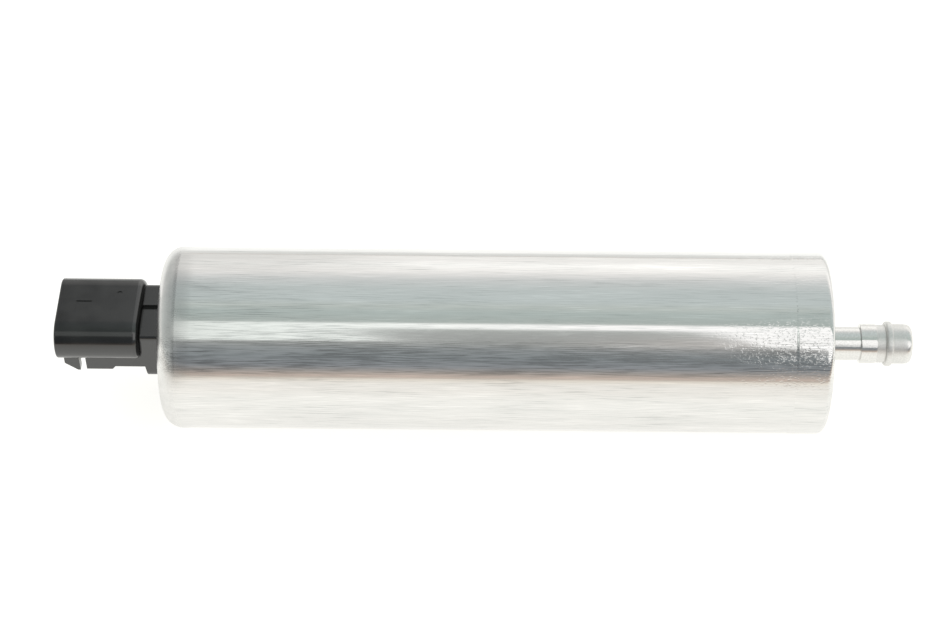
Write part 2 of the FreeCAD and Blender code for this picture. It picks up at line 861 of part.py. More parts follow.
head_right_x = seat_left_x - seat_gap
head_left_x = head_right_x - poppet_head_length
retainer_right_x = valve_left_x + valve_retainer_thickness


def make_poppet():
    return turned([
        (valve_left_x, 0),
        (valve_left_x, poppet_stem_radius),
        (head_left_x, poppet_stem_radius),
        (head_left_x, poppet_radius),
        (head_right_x, poppet_radius),
        (head_right_x, valve_seat_radius - running_gap),
        (head_right_x + poppet_nose_length, poppet_stem_radius),
        (head_right_x + poppet_nose_length, 0),
    ], outlet_y, outlet_z)


def make_valve_retainer():
    outer = valve_body_radius - valve_body_wall - press_gap
    retainer = tube(valve_left_x, retainer_right_x, outer, poppet_stem_radius + running_gap,
                    outlet_y, outlet_z)
    middle = (outer + poppet_stem_radius) / 2
    for index in range(valve_retainer_holes):
        y, z = polar(middle, 360 * index / valve_retainer_holes)
        retainer = retainer.cut(rod(valve_left_x, retainer_right_x, valve_retainer_hole_radius,
                                    outlet_y + y, outlet_z + z))
    return retainer


def make_valve_spring():
    return coil(retainer_right_x + seat_gap, head_left_x - seat_gap, valve_coil_radius,
                valve_wire_radius, valve_turns, outlet_y, outlet_z)


# Terminals

blade_sides = {"plus": 1, "minus": -1}
choke_angles = {"plus": choke_angle_plus, "minus": choke_angle_minus}


def make_terminal(side):
    y = blade_sides[side] * blade_spacing / 2
    half_width, half_thick = blade_width / 2, blade_thickness / 2
    blade = Part.makeBox(blade_right_x - blade_left_x, blade_width, blade_thickness)
    blade.translate(Vector(blade_left_x, y - half_width, socket_centre_z - half_thick))
    points = [edge for edge in blade.Edges if edge.BoundBox.XMax < blade_left_x + blade_point / 2]
    blade = blade.makeChamfer(blade_point / 2, points)
    choke_y, choke_z = polar(choke_place_radius, choke_angles[side])
    start = Vector(0, y, socket_centre_z)
    run = Vector(0, choke_y, choke_z) - start
    across = Vector(0, -run.z, run.y).normalize() * half_width
    corners = [start + across, start + run + across, start + run - across, start - across]
    leg_x = blade_right_x - blade_thickness
    leg = along_x([(corner.y, corner.z) for corner in corners], leg_x, blade_right_x)
    return blade.fuse(leg).removeSplitter()


# Moulded cap with the socket


def rounded_rectangle(width, height, corner, middle_z):
    return [
        (-width / 2, middle_z - height / 2, corner),
        (width / 2, middle_z - height / 2, corner),
        (width / 2, middle_z + height / 2, corner),
        (-width / 2, middle_z + height / 2, corner),
    ]


def edges_at_x(shape, x):
    return [e for e in shape.Edges if abs(e.BoundBox.XMin - x) < 1e-4 and abs(e.BoundBox.XMax - x) < 1e-4]


def make_socket_shell():
    outline = rounded_rectangle(socket_width, socket_height, socket_corner, socket_centre_z)
    shell = along_x(outline, socket_left_x, socket_right_x)
    shell = shell.makeFillet(socket_mouth_round, edges_at_x(shell, socket_left_x))
    return shell.makeFillet(socket_rear_round, edges_at_x(shell, socket_right_x))


def make_socket_hollow():
    inside = rounded_rectangle(socket_width - 2 * socket_wall, socket_height - 2 * socket_wall,
                               socket_corner - socket_wall, socket_centre_z)
    return along_x(inside, socket_left_x - socket_wall, socket_right_x - socket_back_wall)


def make_neck():
    outline = [
        (can_left_x + can_wall, neck_bottom_z),
        (can_left_x - neck_bottom_reach, neck_bottom_z, neck_round),
        (socket_right_x, socket_under_z),
        (socket_right_x - socket_rear_round, neck_top_z),
        (can_left_x + can_wall, neck_top_z),
    ]
    section = along_x([
        (-neck_half_width, neck_bottom_z, neck_bottom_round),
        (neck_half_width, neck_bottom_z, neck_bottom_round),
        (neck_half_width, neck_top_z, neck_top_round),
        (-neck_half_width, neck_top_z, neck_top_round),
    ], socket_right_x - socket_rear_round, can_left_x + can_wall)
    neck = along_y(outline, -neck_half_width, neck_half_width).common(section)
    lowered = Part.makeBox(can_left_x - socket_right_x + can_wall, neck_half_width + neck_step_edge_y,
                           neck_step_depth)
    lowered.translate(Vector(socket_right_x, -neck_half_width, neck_top_z - neck_step_depth))
    neck = neck.cut(lowered)
    rib = Part.makeBox(can_left_x - socket_right_x + socket_rear_round, neck_rib_width,
                       neck_rib_height + neck_step_depth)
    rib.translate(Vector(socket_right_x - socket_rear_round, neck_step_edge_y, neck_top_z - neck_step_depth))
    return neck.fuse(rib)


def make_rails():
    """Two latch rails under the socket: a ramped lug, a gap, a stop block and a low rail."""
    root_z = socket_under_z + rail_root
    lug = [
        (can_left_x - lug_front_reach, root_z),
        (can_left_x - lug_front_reach, socket_under_z - lug_front_depth),
        (can_left_x - lug_back_reach - lug_land, socket_under_z - lug_depth),
        (can_left_x - lug_back_reach, socket_under_z - lug_depth),
        (can_left_x - lug_back_reach, root_z),
    ]
    stop = [
        (can_left_x - block_front_reach, root_z),
        (can_left_x - block_front_reach, socket_under_z - block_depth),
        (can_left_x - block_back_reach - rail_chamfer, socket_under_z - block_depth),
        (can_left_x - block_back_reach, socket_under_z - low_rail_depth),
        (can_left_x - low_rail_back_reach, socket_under_z - low_rail_depth),
        (can_left_x - low_rail_back_reach, root_z),
    ]
    rails = []
    for y in (rail_inner_y, -rail_inner_y - rail_width):
        rails += [along_y(lug, y, y + rail_width), along_y(stop, y, y + rail_width)]
    return rails


def make_connector_cap():
    rim = bore_radius - seat_gap
    skirt_x = rear_isolator_left_x
    cap = turned([
        (cap_left_x + cap_face_clearance, 0),
        (cap_left_x + cap_face_clearance, rim, cap_shoulder_round),
        (skirt_x, rim),
        (skirt_x, skirt_bore_radius),
        (cap_right_x, skirt_bore_radius),
        (cap_right_x, 0),
    ])
    cap = cap.cut(ring_groove(cap_ring_x))
    face = rod(can_left_x, cap_right_x, can_lip_radius - seat_gap)
    boss = rod(can_left_x - outlet_boss_length, cap_right_x, outlet_boss_radius, outlet_y, outlet_z)
    boss = boss.common(rod(can_left_x - outlet_boss_length, cap_right_x, can_lip_radius - seat_gap))
    socket = make_socket_shell().cut(make_socket_hollow())
    cap = cap.multiFuse([face, boss, socket, make_neck()] + make_rails())
    flange_x = valve_left_x - nipple_flange_thickness
    cap = cap.cut(rod(flange_x, cap_right_x, nipple_flange_radius + press_gap, outlet_y, outlet_z))
    cap = cap.cut(rod(socket_left_x, cap_right_x, pipe_radius + press_gap, outlet_y, outlet_z))
    for side in blade_sides.values():
        slot = Part.makeBox(cap_right_x - socket_left_x, blade_width + 2 * press_gap,
                            blade_thickness + 2 * press_gap)
        slot.translate(Vector(socket_left_x, side * blade_spacing / 2 - blade_width / 2 - press_gap,
                              socket_centre_z - blade_thickness / 2 - press_gap))
        cap = cap.cut(slot)
    gate = Part.makeCylinder(gate_mark_radius, socket_wall)
    gate.translate(Vector(can_left_x - gate_mark_reach, gate_mark_y,
                          socket_top_z - gate_mark_depth))
    mark = Part.makeBox(square_mark_size, square_mark_size, socket_wall)
    mark.translate(Vector(can_left_x - square_mark_reach - square_mark_size,
                          square_mark_y - square_mark_size / 2, socket_top_z - square_mark_depth))
    return cap.cut(gate).cut(mark)


cap_ring_x = (cap_left_x + cap_right_x) / 2 + cap_shoulder_round / 2

brush_plus, brush_minus = brush_angles
pieces = {
    "can": make_can(),
    "connector_cap": make_connector_cap(),
    "terminal_plus": make_terminal("plus"),
    "terminal_minus": make_terminal("minus"),
    "cap_o_ring": make_o_ring(cap_ring_x),
    "outlet_nipple": make_nipple(valve_left_x - nipple_flange_thickness, -1, outlet_y, outlet_z),
    "check_valve_body": make_valve_body(),
    "check_poppet": make_poppet(),
    "check_spring": make_valve_spring(),
    "check_retainer": make_valve_retainer(),
    "brush_holder": make_brush_holder(),
    "brush_plus": make_brush(brush_plus),
    "brush_minus": make_brush(brush_minus),
    "brush_spring_plus": make_brush_spring(brush_plus),
    "brush_spring_minus": make_brush_spring(brush_minus),
    "pigtail_plus": make_pigtail(brush_plus, choke_angle_plus),
    "pigtail_minus": make_pigtail(brush_minus, choke_angle_minus),
    "choke_core_plus": make_choke_core(choke_angle_plus),
    "choke_core_minus": make_choke_core(choke_angle_minus),
    "choke_coil_plus": make_choke_coil(choke_angle_plus),
    "choke_coil_minus": make_choke_coil(choke_angle_minus),
    "rear_bush": tube(holder_right_x - bush_length, holder_right_x, bush_radius - press_gap,
                      shaft_radius + shaft_gap),
    "front_bush": tube(spigot_left_x, spigot_left_x + bush_length, bush_radius - press_gap,
                       shaft_radius + shaft_gap),
    "rear_washer": tube(holder_right_x + seat_gap, holder_right_x + seat_gap + washer_thickness,
                        washer_radius, shaft_radius + shaft_gap),
    "front_washer": tube(spigot_left_x - seat_gap - washer_thickness, spigot_left_x - seat_gap,
                         washer_radius, shaft_radius + shaft_gap),
    "shaft": make_shaft(),
    "armature_core": make_armature_core(),
    "armature_winding": make_armature_winding(),
    "commutator_hub": make_commutator_hub(),
    "commutator_segments": make_commutator_segments(),
    "yoke": tube(yoke_left_x, port_plate_left_x, module_radius, yoke_bore_radius),
    "magnet_upper": make_magnet(90),
    "magnet_lower": make_magnet(270),
    "magnet_clip_right": make_magnet_clip(0),
    "magnet_clip_left": make_magnet_clip(180),
    "rear_isolator": make_isolator(rear_isolator_left_x, holder_left_x, holder_left_x + isolator_skirt),
    "front_isolator": make_isolator(stage_right_x, plate_left_x, stage_right_x - isolator_skirt),
    "port_plate": make_port_plate(),
    "gerotor_ring": make_gerotor_ring(),
    "outer_rotor": make_outer_rotor(),
    "inner_rotor": make_inner_rotor(),
    "drive_dog": make_drive_dog(),
    "pump_inlet_plate": make_pump_inlet_plate(),
    "pump_screws": make_pump_screws(),
    "relief_ball": Part.makeSphere(relief_ball_radius, Vector(ball_x, relief_y, relief_z)),
    "relief_spring": make_relief_spring(),
    "relief_retainer": make_relief_retainer(),
    "inlet_end_plate": make_inlet_end_plate(),
    "plate_o_ring": make_o_ring(plate_ring_x),
    "inlet_nipple": make_nipple(inlet_flange_x, 1),
    "inlet_strainer": make_inlet_strainer(),
}

os.makedirs("parts", exist_ok=True)
for name, shape in pieces.items():
    shape.exportStep(f"parts/{name}.step")
    print(f"{name}: {len(shape.Solids)} solid, {shape.Volume:.1f} mm3, valid {shape.isValid()}")
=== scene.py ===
import json
import math

import bpy
from mathutils import Matrix, Vector


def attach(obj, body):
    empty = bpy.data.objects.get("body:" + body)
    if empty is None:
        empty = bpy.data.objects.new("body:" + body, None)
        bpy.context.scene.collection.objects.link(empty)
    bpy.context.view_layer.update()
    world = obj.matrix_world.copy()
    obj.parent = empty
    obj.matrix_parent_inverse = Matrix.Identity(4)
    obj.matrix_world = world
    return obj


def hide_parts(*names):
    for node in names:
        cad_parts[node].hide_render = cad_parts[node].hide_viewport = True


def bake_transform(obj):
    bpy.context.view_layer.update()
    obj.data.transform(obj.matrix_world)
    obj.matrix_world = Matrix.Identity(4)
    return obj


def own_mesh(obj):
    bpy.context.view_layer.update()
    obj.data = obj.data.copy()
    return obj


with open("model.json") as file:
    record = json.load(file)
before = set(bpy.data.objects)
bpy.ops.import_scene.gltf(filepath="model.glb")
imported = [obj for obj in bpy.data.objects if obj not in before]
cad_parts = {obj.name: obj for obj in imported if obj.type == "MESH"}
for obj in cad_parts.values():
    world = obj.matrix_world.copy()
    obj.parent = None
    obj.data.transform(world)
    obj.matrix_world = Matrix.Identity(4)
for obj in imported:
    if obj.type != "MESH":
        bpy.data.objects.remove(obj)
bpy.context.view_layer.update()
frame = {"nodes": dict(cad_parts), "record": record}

# Inline fuel pump lying on its can: socket end at -X, inlet nipple at +X, seen from -Y and above.
# Sizes are in millimetres and are turned to metres by MM where a mesh or a node needs them.
MM = 0.001

can_radius = 21.5
can_wall = 1.2
can_bore_radius = can_radius - can_wall
can_lip_radius = 16.8
can_lip_round = 0.15
can_rim_round = 0.3
can_end_x = 77.75
shoulder_radius = 4.4
band_radius = 21.58
band_left_x = 69.25
band_chamfer = 0.3
rim_radius = 1.6

# Radii of the hose nipples' stretches, and how far beyond the can's end each stretch starts
nipple_bore_radius = 2.6
pipe_radius = 4.0
collar_radius = 4.7
waist_radius = 4.5
ridge_radius = 5.3
land_radius = 4.7
flange_radius = 5.3
flange_thickness = 1.2
collar_start = 8.6
waist_start = 12.5
ridge_start = 14.5
land_start = 16.3
nipple_reach = 20.9
inner_round = 0.15
edge_round = 0.2
ridge_round = 0.6
tip_round = 1.3

outlet_y = 7.202
outlet_z = -9.698
floor_z = -band_radius


# Colours and nodes


def paint(code):
    """A colour written as it looks, such as 8A8C8E, for a shader, which wants it linear."""
    channels = [int(code[i:i + 2], 16) / 255 for i in (0, 2, 4)]
    return [c / 12.92 if c <= 0.04045 else ((c + 0.055) / 1.055) ** 2.4 for c in channels] + [1.0]


def add(tree, kind, inputs=None, stops=(), **settings):
    """A node with its settings. Each input takes a plain value, or the output that feeds it, and a
    colour ramp takes its (place, colour code) stops."""
    node = tree.nodes.new(kind)
    for name, value in settings.items():
        setattr(node, name, value)
    for index, (place, code) in enumerate(stops):
        elements = node.color_ramp.elements
        if index == len(elements):
            elements.new(place)
        elements[index].position = place
        elements[index].color = paint(code)
    for name, value in (inputs or {}).items():
        if isinstance(value, bpy.types.NodeSocket):
            tree.links.new(value, node.inputs[name])
        else:
            node.inputs[name].default_value = value
    return node


def new_finish(name, values):
    """An empty finish: a material, its node tree and its shader with the plain values set."""
    material = bpy.data.materials.new(name)
    material.use_nodes = True
    shader = material.node_tree.nodes["Principled BSDF"]
    for socket, value in values.items():
        shader.inputs[socket].default_value = value
    return material, material.node_tree, shader


def grain(tree, size, detail=2.0):
    """Noise with grains of the given three lengths in millimetres along X, Y and Z."""
    place = add(tree, "ShaderNodeTexCoord")
    stretch = add(tree, "ShaderNodeMapping",
                  {"Vector": place.outputs["Object"], "Scale": [1 / (MM * length) for length in size]})
    noise = add(tree, "ShaderNodeTexNoise",
                {"Vector": stretch.outputs["Vector"], "Scale": 1.0, "Detail": detail})
    return noise.outputs["Fac"]


def blend_colours(tree, shader, factor, stops):
    """Feed the shader's colour from a factor through (place, colour code) stops."""
    ramp = add(tree, "ShaderNodeValToRGB", {"Fac": factor}, stops)
    tree.links.new(ramp.outputs["Color"], shader.inputs["Base Color"])


def vary_roughness(tree, shader, factor, low, high):
    """Spread the shader's roughness from low to high over the middle of a factor's range."""
    start, end = 0.35, 0.65
    spread = add(tree, "ShaderNodeMapRange",
                 {"Value": factor, "From Min": start, "From Max": end, "To Min": low, "To Max": high})
    tree.links.new(spread.outputs["Result"], shader.inputs["Roughness"])


def emboss(tree, shader, height, depth):
    """Raise the surface by a height factor times a depth in millimetres."""
    bump = add(tree, "ShaderNodeBump", {"Height": height, "Distance": depth * MM, "Strength": 1.0})
    tree.links.new(bump.outputs["Normal"], shader.inputs["Normal"])


# Metals that show


def drawn_aluminium():
    """Soft aluminium drawn through a die: a satin mirror with fine streaks along it, their contrast raised
    as painted glints in a stripe along its front. Spinning the socket end's shoulder has dulled it, and
    rolling the inlet end shut has pitted that end."""
    pressed_from_x, pressed_to_x = 48.0, 67.0
    spun_from_x, spun_to_x = -69.5, -75.0
    # Painted glints: a stripe round the can, at this angle up from the front, where the streaks' contrast
    # is raised
    glint_stripe_angle, glint_stripe_half, glint_stripe_end = 37.0, 8.0, 12.0
    glint_stripe_contrast = 3.6
    usual_wear = 0.75
    satin_roughness, mirror_roughness = 0.18, 0.08
    pressed_polish, spun_polish = 0.6, 0.85
    spun_roughness = 0.31
    pit_depth = 0.009
    streak_depth = 0.0013

    material, tree, shader = new_finish("drawn_aluminium", {"Metallic": 1.0})
    streaks = grain(tree, (7.0, 0.16, 0.16), 3.0)
    patches = grain(tree, (26.0, 3.0, 3.0), 2.0)
    peel = grain(tree, (0.8, 0.45, 0.45), 4.0)
    worn = add(tree, "ShaderNodeMath", {0: patches, 1: 0.5, 2: streaks}, operation="MULTIPLY_ADD")

    # How far each end has been worked, from 0 to 1, and what that leaves of the drawn finish
    place = add(tree, "ShaderNodeTexCoord")
    split = add(tree, "ShaderNodeSeparateXYZ", {"Vector": place.outputs["Object"]})
    pressed = add(tree, "ShaderNodeMapRange",
                  {"Value": split.outputs["X"], "From Min": pressed_from_x * MM,
                   "From Max": pressed_to_x * MM})
    spun = add(tree, "ShaderNodeMapRange",
               {"Value": split.outputs["X"], "From Min": spun_from_x * MM, "From Max": spun_to_x * MM})
    unpressed = add(tree, "ShaderNodeMath", {0: pressed.outputs[0], 1: -pressed_polish, 2: 1.0},
                    operation="MULTIPLY_ADD")
    unspun = add(tree, "ShaderNodeMath", {0: spun.outputs[0], 1: -spun_polish, 2: 1.0},
                 operation="MULTIPLY_ADD")

    # Colour: the metal's own streaks of light and dark, raised in contrast as painted glints in a stripe
    # along the front
    front = add(tree, "ShaderNodeMath", {0: split.outputs["Y"], 1: -1.0}, operation="MULTIPLY")
    turn = add(tree, "ShaderNodeMath", {0: split.outputs["Z"], 1: front.outputs[0]}, operation="ARCTAN2")
    off_glint_stripe = add(tree, "ShaderNodeMath", {0: turn.outputs[0], 1: math.radians(glint_stripe_angle)},
                    operation="SUBTRACT")
    aside = add(tree, "ShaderNodeMath", {0: off_glint_stripe.outputs[0]}, operation="ABSOLUTE")
    contrast = add(tree, "ShaderNodeMapRange",
                   {"Value": aside.outputs[0], "From Min": math.radians(glint_stripe_half),
                    "From Max": math.radians(glint_stripe_end), "To Min": glint_stripe_contrast, "To Max": 1.0})
    uneven = add(tree, "ShaderNodeMath", {0: worn.outputs[0], 1: usual_wear}, operation="SUBTRACT")
    shade = add(tree, "ShaderNodeMath", {0: uneven.outputs[0], 1: contrast.outputs[0], 2: usual_wear},
                operation="MULTIPLY_ADD")
    blend_colours(tree, shader, shade.outputs[0],
                  [(0.45, "C0C0BE"), (0.60, "DCDCDA"), (0.75, "E2E1DF"), (0.90, "E7E6E4"), (1.0, "F4F3F1")])

    # Roughness: satin streaks on a mirror, and an even dull shoulder
    satin = add(tree, "ShaderNodeMapRange",
                {"Value": worn.outputs[0], "From Min": 0.60, "From Max": 0.72,
                 "To Min": satin_roughness, "To Max": mirror_roughness})
    smooth = add(tree, "ShaderNodeMath", {0: satin.outputs[0], 1: unpressed.outputs[0]},
                 operation="MULTIPLY")
    polish = add(tree, "ShaderNodeMath", {0: smooth.outputs[0], 1: unspun.outputs[0]},
                 operation="MULTIPLY")
    rough = add(tree, "ShaderNodeMath", {0: spun.outputs[0], 1: spun_roughness, 2: polish.outputs[0]},
                operation="MULTIPLY_ADD")
    tree.links.new(rough.outputs[0], shader.inputs["Roughness"])

    # Relief: pits towards the rolled end under the drawing streaks
    pits = add(tree, "ShaderNodeMapRange", {"Value": peel, "From Min": 0.34, "From Max": 0.46})
    pit_height = add(tree, "ShaderNodeMath", {0: pits.outputs[0], 1: pressed.outputs[0]},
                     operation="MULTIPLY")
    pitted = add(tree, "ShaderNodeBump", {"Height": pit_height.outputs[0], "Distance": pit_depth * MM})
    streak_height = add(tree, "ShaderNodeMath", {0: worn.outputs[0], 1: unspun.outputs[0]},
                        operation="MULTIPLY")
    drawn = add(tree, "ShaderNodeBump",
                {"Height": streak_height.outputs[0], "Distance": streak_depth * MM,
                 "Normal": pitted.outputs["Normal"]})
    tree.links.new(drawn.outputs["Normal"], shader.inputs["Normal"])
    return material


def turned_aluminium():
    """Aluminium off a lathe: bright on the pipe and its collar, and dull where the hose end is coarsely
    turned to grip."""
    bright, dull = 0.12, 0.42
    collar_end_x = can_end_x + waist_start
    blend_length = 0.1
    tip_from_x, tip_to_x = 96.5, 97.5
    tip_polish = 0.2

    material, tree, shader = new_finish("turned_aluminium", {"Metallic": 1.0})
    rings = grain(tree, (0.18, 9.0, 9.0), 2.0)
    specks = grain(tree, (0.3, 0.3, 0.3), 2.0)
    place = add(tree, "ShaderNodeTexCoord")
    split = add(tree, "ShaderNodeSeparateXYZ", {"Vector": place.outputs["Object"]})
    outwards = add(tree, "ShaderNodeMath", {0: split.outputs["X"]}, operation="ABSOLUTE")
    hose_end = add(tree, "ShaderNodeMapRange",
                   {"Value": outwards.outputs[0], "From Min": (collar_end_x - blend_length) * MM,
                    "From Max": (collar_end_x + blend_length) * MM, "To Min": bright, "To Max": dull})
    tip = add(tree, "ShaderNodeMapRange",
              {"Value": outwards.outputs[0], "From Min": tip_from_x * MM, "From Max": tip_to_x * MM,
               "To Max": tip_polish})
    blend_colours(tree, shader, specks, [(0.35, "DCDBD8"), (0.65, "E8E7E4")])
    rough = add(tree, "ShaderNodeMath", {0: hose_end.outputs["Result"], 1: tip.outputs["Result"]},
                operation="SUBTRACT")
    tree.links.new(rough.outputs[0], shader.inputs["Roughness"])
    emboss(tree, shader, rings, 0.0004)
    return material


# Plastics and rubber


def moulded_polyamide():
    """Glass-filled nylon from a polished mould: near black, with a soft gloss that the fibres break up."""
    material, tree, shader = new_finish("moulded_polyamide", {"IOR": 1.53, "Specular IOR Level": 1.0})
    fibres = grain(tree, (0.5, 0.5, 0.5), 3.0)
    cloud = grain(tree, (6.0, 6.0, 6.0), 2.0)
    blend_colours(tree, shader, cloud, [(0.3, "141414"), (0.7, "1B1B1A")])
    vary_roughness(tree, shader, cloud, 0.13, 0.20)
    emboss(tree, shader, fibres, 0.0003)
    return material


def moulded_plastic(name, dark, light, roughness, ior):
    """Plain moulded plastic, a little cloudy and slightly uneven in gloss."""
    unevenness = 0.12
    material, tree, shader = new_finish(name, {"IOR": ior})
    cloud = grain(tree, (3.0, 3.0, 3.0), 3.0)
    blend_colours(tree, shader, cloud, [(0.3, dark), (0.7, light)])
    vary_roughness(tree, shader, grain(tree, (0.4, 0.4, 0.4)), roughness, roughness + unevenness)
    emboss(tree, shader, cloud, 0.003)
    return material


def moulded_rubber():
    """Fuel-proof rubber: black, dry to the eye, with a bloom that greys it in patches."""
    material, tree, shader = new_finish("moulded_rubber", {"IOR": 1.52})
    bloom = grain(tree, (1.5, 1.5, 1.5), 4.0)
    blend_colours(tree, shader, bloom, [(0.3, "1A1A1A"), (0.7, "2B2B2A")])
    vary_roughness(tree, shader, bloom, 0.55, 0.75)
    emboss(tree, shader, grain(tree, (0.2, 0.2, 0.2)), 0.004)
    return material


# Metals inside


def worked_metal(name, dark, light, low, high, size, depth):
    """A bare metal whose marks have the given three lengths along X, Y and Z."""
    material, tree, shader = new_finish(name, {"Metallic": 1.0})
    marks = grain(tree, size, 3.0)
    blend_colours(tree, shader, marks, [(0.35, dark), (0.65, light)])
    vary_roughness(tree, shader, marks, low, high)
    emboss(tree, shader, marks, depth)
    return material


def layered_wire(name, dark, light, pitch, metallic, roughness):
    """Wire laid side by side along X: rounds at the wire's own pitch, with painted shade in the grooves
    between.
    """
    material, tree, shader = new_finish(name, {"Metallic": metallic, "Roughness": roughness})
    place = add(tree, "ShaderNodeTexCoord")
    wires = add(tree, "ShaderNodeTexWave",
                {"Vector": place.outputs["Object"], "Scale": math.pi / 10 / (pitch * MM),
                 "Distortion": 1.2, "Detail": 1.0, "Detail Scale": 0.4},
                bands_direction="X", wave_profile="SIN")
    # Painted shade: the colour darkens in the grooves between the wires
    blend_colours(tree, shader, wires.outputs["Fac"], [(0.05, dark), (0.5, light)])
    emboss(tree, shader, wires.outputs["Fac"], pitch / 3)
    return material


def pressed_powder(name, dark, light, low, high, size, metallic=0.0):
    """Pressed and fired powder: even, dense, with fine pores and specks."""
    material, tree, shader = new_finish(name, {"Metallic": metallic})
    specks = grain(tree, (size, size, size), 5.0)
    blend_colours(tree, shader, specks, [(0.35, dark), (0.62, light)])
    vary_roughness(tree, shader, specks, low, high)
    emboss(tree, shader, specks, size / 12)
    return material


finishes = {
    "can_aluminium": drawn_aluminium(),
    "nipple_aluminium": turned_aluminium(),
    "machined_aluminium": worked_metal("milled_aluminium", "B9BABA", "D2D2D1", 0.28, 0.42,
                                       (0.3, 4.0, 4.0), 0.003),
    "black_plastic": moulded_polyamide(),
    "white_plastic": moulded_plastic("moulded_acetal", "DEDBD0", "EAE8E0", 0.35, 1.48),
    "brown_plastic": moulded_plastic("moulded_phenolic", "3A2415", "4B2F1C", 0.40, 1.6),
    "tinned_brass": worked_metal("tinned_brass", "BDBBB4", "D6D4CC", 0.18, 0.32, (3.0, 0.2, 0.2), 0.002),
    # The first colour of each wire finish is painted shade in the grooves between its wires
    "copper_braid": layered_wire("bare_copper_braid", "7A4226", "D58A5E", 0.30, 1.0, 0.35),
    "enamelled_copper": layered_wire("enamelled_copper_wire", "5A2412", "B25A2A", 0.50, 0.9, 0.28),
    "seal_rubber": moulded_rubber(),
    "spring_steel": worked_metal("drawn_spring_steel", "8E8E8C", "B4B3B0", 0.22, 0.36,
                                 (0.6, 0.6, 0.6), 0.002),
    "plated_steel": worked_metal("zinc_plated_steel", "A9ADB0", "C8CBCD", 0.24, 0.40,
                                 (1.2, 1.2, 1.2), 0.003),
    "ground_steel": worked_metal("ground_steel", "A3A5A7", "C3C4C5", 0.12, 0.22,
                                 (0.15, 6.0, 6.0), 0.001),
    "lamination_steel": worked_metal("stacked_lamination_steel", "4D5053", "85888B", 0.35, 0.55,
                                     (0.5, 30.0, 30.0), 0.02),
    "sintered_steel": pressed_powder("sintered_steel", "6E6C69", "8F8D89", 0.38, 0.55, 0.25, 1.0),
    "ferrite": pressed_powder("fired_ferrite", "2A2B2D", "3C3D40", 0.45, 0.65, 0.30),
    "carbon_bush": pressed_powder("sintered_carbon", "26262A", "34343A", 0.40, 0.55, 0.20),
    "brush_carbon": pressed_powder("brush_carbon", "1F1E1D", "312F2D", 0.50, 0.70, 0.25),
    "commutator_carbon": pressed_powder("commutator_carbon", "232324", "38383A", 0.30, 0.45, 0.20),
}

slot_of = {}
for part in frame["record"]["subparts"]:
    slot_of[part["node"]] = part["material_slot"]
for node_name, node in frame["nodes"].items():
    node.data.materials.clear()
    node.data.materials.append(finishes[slot_of[node_name]])


# Inner springs and pigtails, each with a mesh of its own, though in the pump they give as a joint moves

# Each spring sits between its fixed end and the piece that it pushes, which slides its travel along X;
# here each spring only gets a mesh of its own: spring, joint, X of the fixed end, X of the free end, travel
springs = [
    ("relief_spring", "relief_ball_slide", 67.0, 58.85, 1.2),
    ("check_spring", "check_poppet_slide", -71.1, -61.45, 2.0),
    ("brush_spring_plus", "brush_plus_slide", -59.2, -46.68, 3.0),
    ("brush_spring_minus", "brush_minus_slide", -59.2, -46.68, 3.0),
]
for spring, joint, fixed_x, free_x, travel in springs:
    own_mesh(frame["nodes"][spring])

# Each pigtail runs from its choke to its brush, and a copy of its mesh stands in for it:
# pigtail, body, Y and Z of the choke end, Y and Z of the brush end
pigtails = [
    ("pigtail_plus", "brush_plus_body", (5.0, 13.4), (7.9, 5.9)),
    ("pigtail_minus", "brush_minus_body", (-12.9, 5.3), (-7.9, -5.9)),
]
for pigtail, brush, (choke_y, choke_z), (brush_y, brush_z) in pigtails:
    braid = bpy.data.objects.new(pigtail + "_braid", frame["nodes"][pigtail].data.copy())
    bpy.context.scene.collection.objects.link(braid)
    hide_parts(pigtail)
    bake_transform(braid)


# Turned pieces, with more sides than the solids so that a mirror finish runs true round them


def rounded(profile):
    """A closed outline of (x, radius) or (x, radius, corner round), with arcs for the rounds and a
    support point near each end of a long run, which keeps the shading straight along it."""
    steps = 10
    long_run = 1.0
    support = 0.15

    count = len(profile)
    points = []
    for index, corner in enumerate(profile):
        here = Vector(corner[:2])
        if len(corner) == 2:
            points.append(here)
            continue
        before = (Vector(profile[index - 1][:2]) - here).normalized()
        after = (Vector(profile[(index + 1) % count][:2]) - here).normalized()
        half = before.angle(after) / 2
        centre = here + (before + after).normalized() * (corner[2] / math.sin(half))
        start = here + before * (corner[2] / math.tan(half)) - centre
        end = here + after * (corner[2] / math.tan(half)) - centre
        arc = start.angle(end)
        for step in range(steps + 1):
            share = step / steps
            swept = start * math.sin((1 - share) * arc) + end * math.sin(share * arc)
            points.append(centre + swept / math.sin(arc))
    outline = []
    for index, point in enumerate(points):
        run = points[(index + 1) % len(points)] - point
        outline.append(point)
        if run.length > long_run:
            outline.append(point + run.normalized() * support)
            outline.append(point + run * 0.5)
            outline.append(point + run - run.normalized() * support)
    return outline


def turn_piece(name, profile, node, sides, y=0.0, z=0.0):
    """Turn a closed outline about a line along X, and let it stand for a CAD node."""
    sharp_angle = 28

    outline = rounded(profile)
    vertices = []
    for side in range(sides):
        angle = 2 * math.pi * side / sides
        for x, radius in outline:
            place = Vector((x, y + radius * math.cos(angle), z + radius * math.sin(angle)))
            vertices.append(place * MM)
    count = len(outline)
    faces = []
    for side in range(sides):
        here, there = side * count, (side + 1) % sides * count
        for index in range(count):
            after = (index + 1) % count
            faces.append((here + index, here + after, there + after, there + index))
    mesh = bpy.data.meshes.new(name)
    mesh.from_pydata(vertices, [], faces)
    mesh.validate()
    mesh.shade_smooth()
    mesh.set_sharp_from_angle(angle=math.radians(sharp_angle))
    mesh.materials.append(finishes[slot_of[node]])
    piece = bpy.data.objects.new(name, mesh)
    bpy.context.scene.collection.objects.link(piece)
    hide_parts(node)
    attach(piece, "housing")


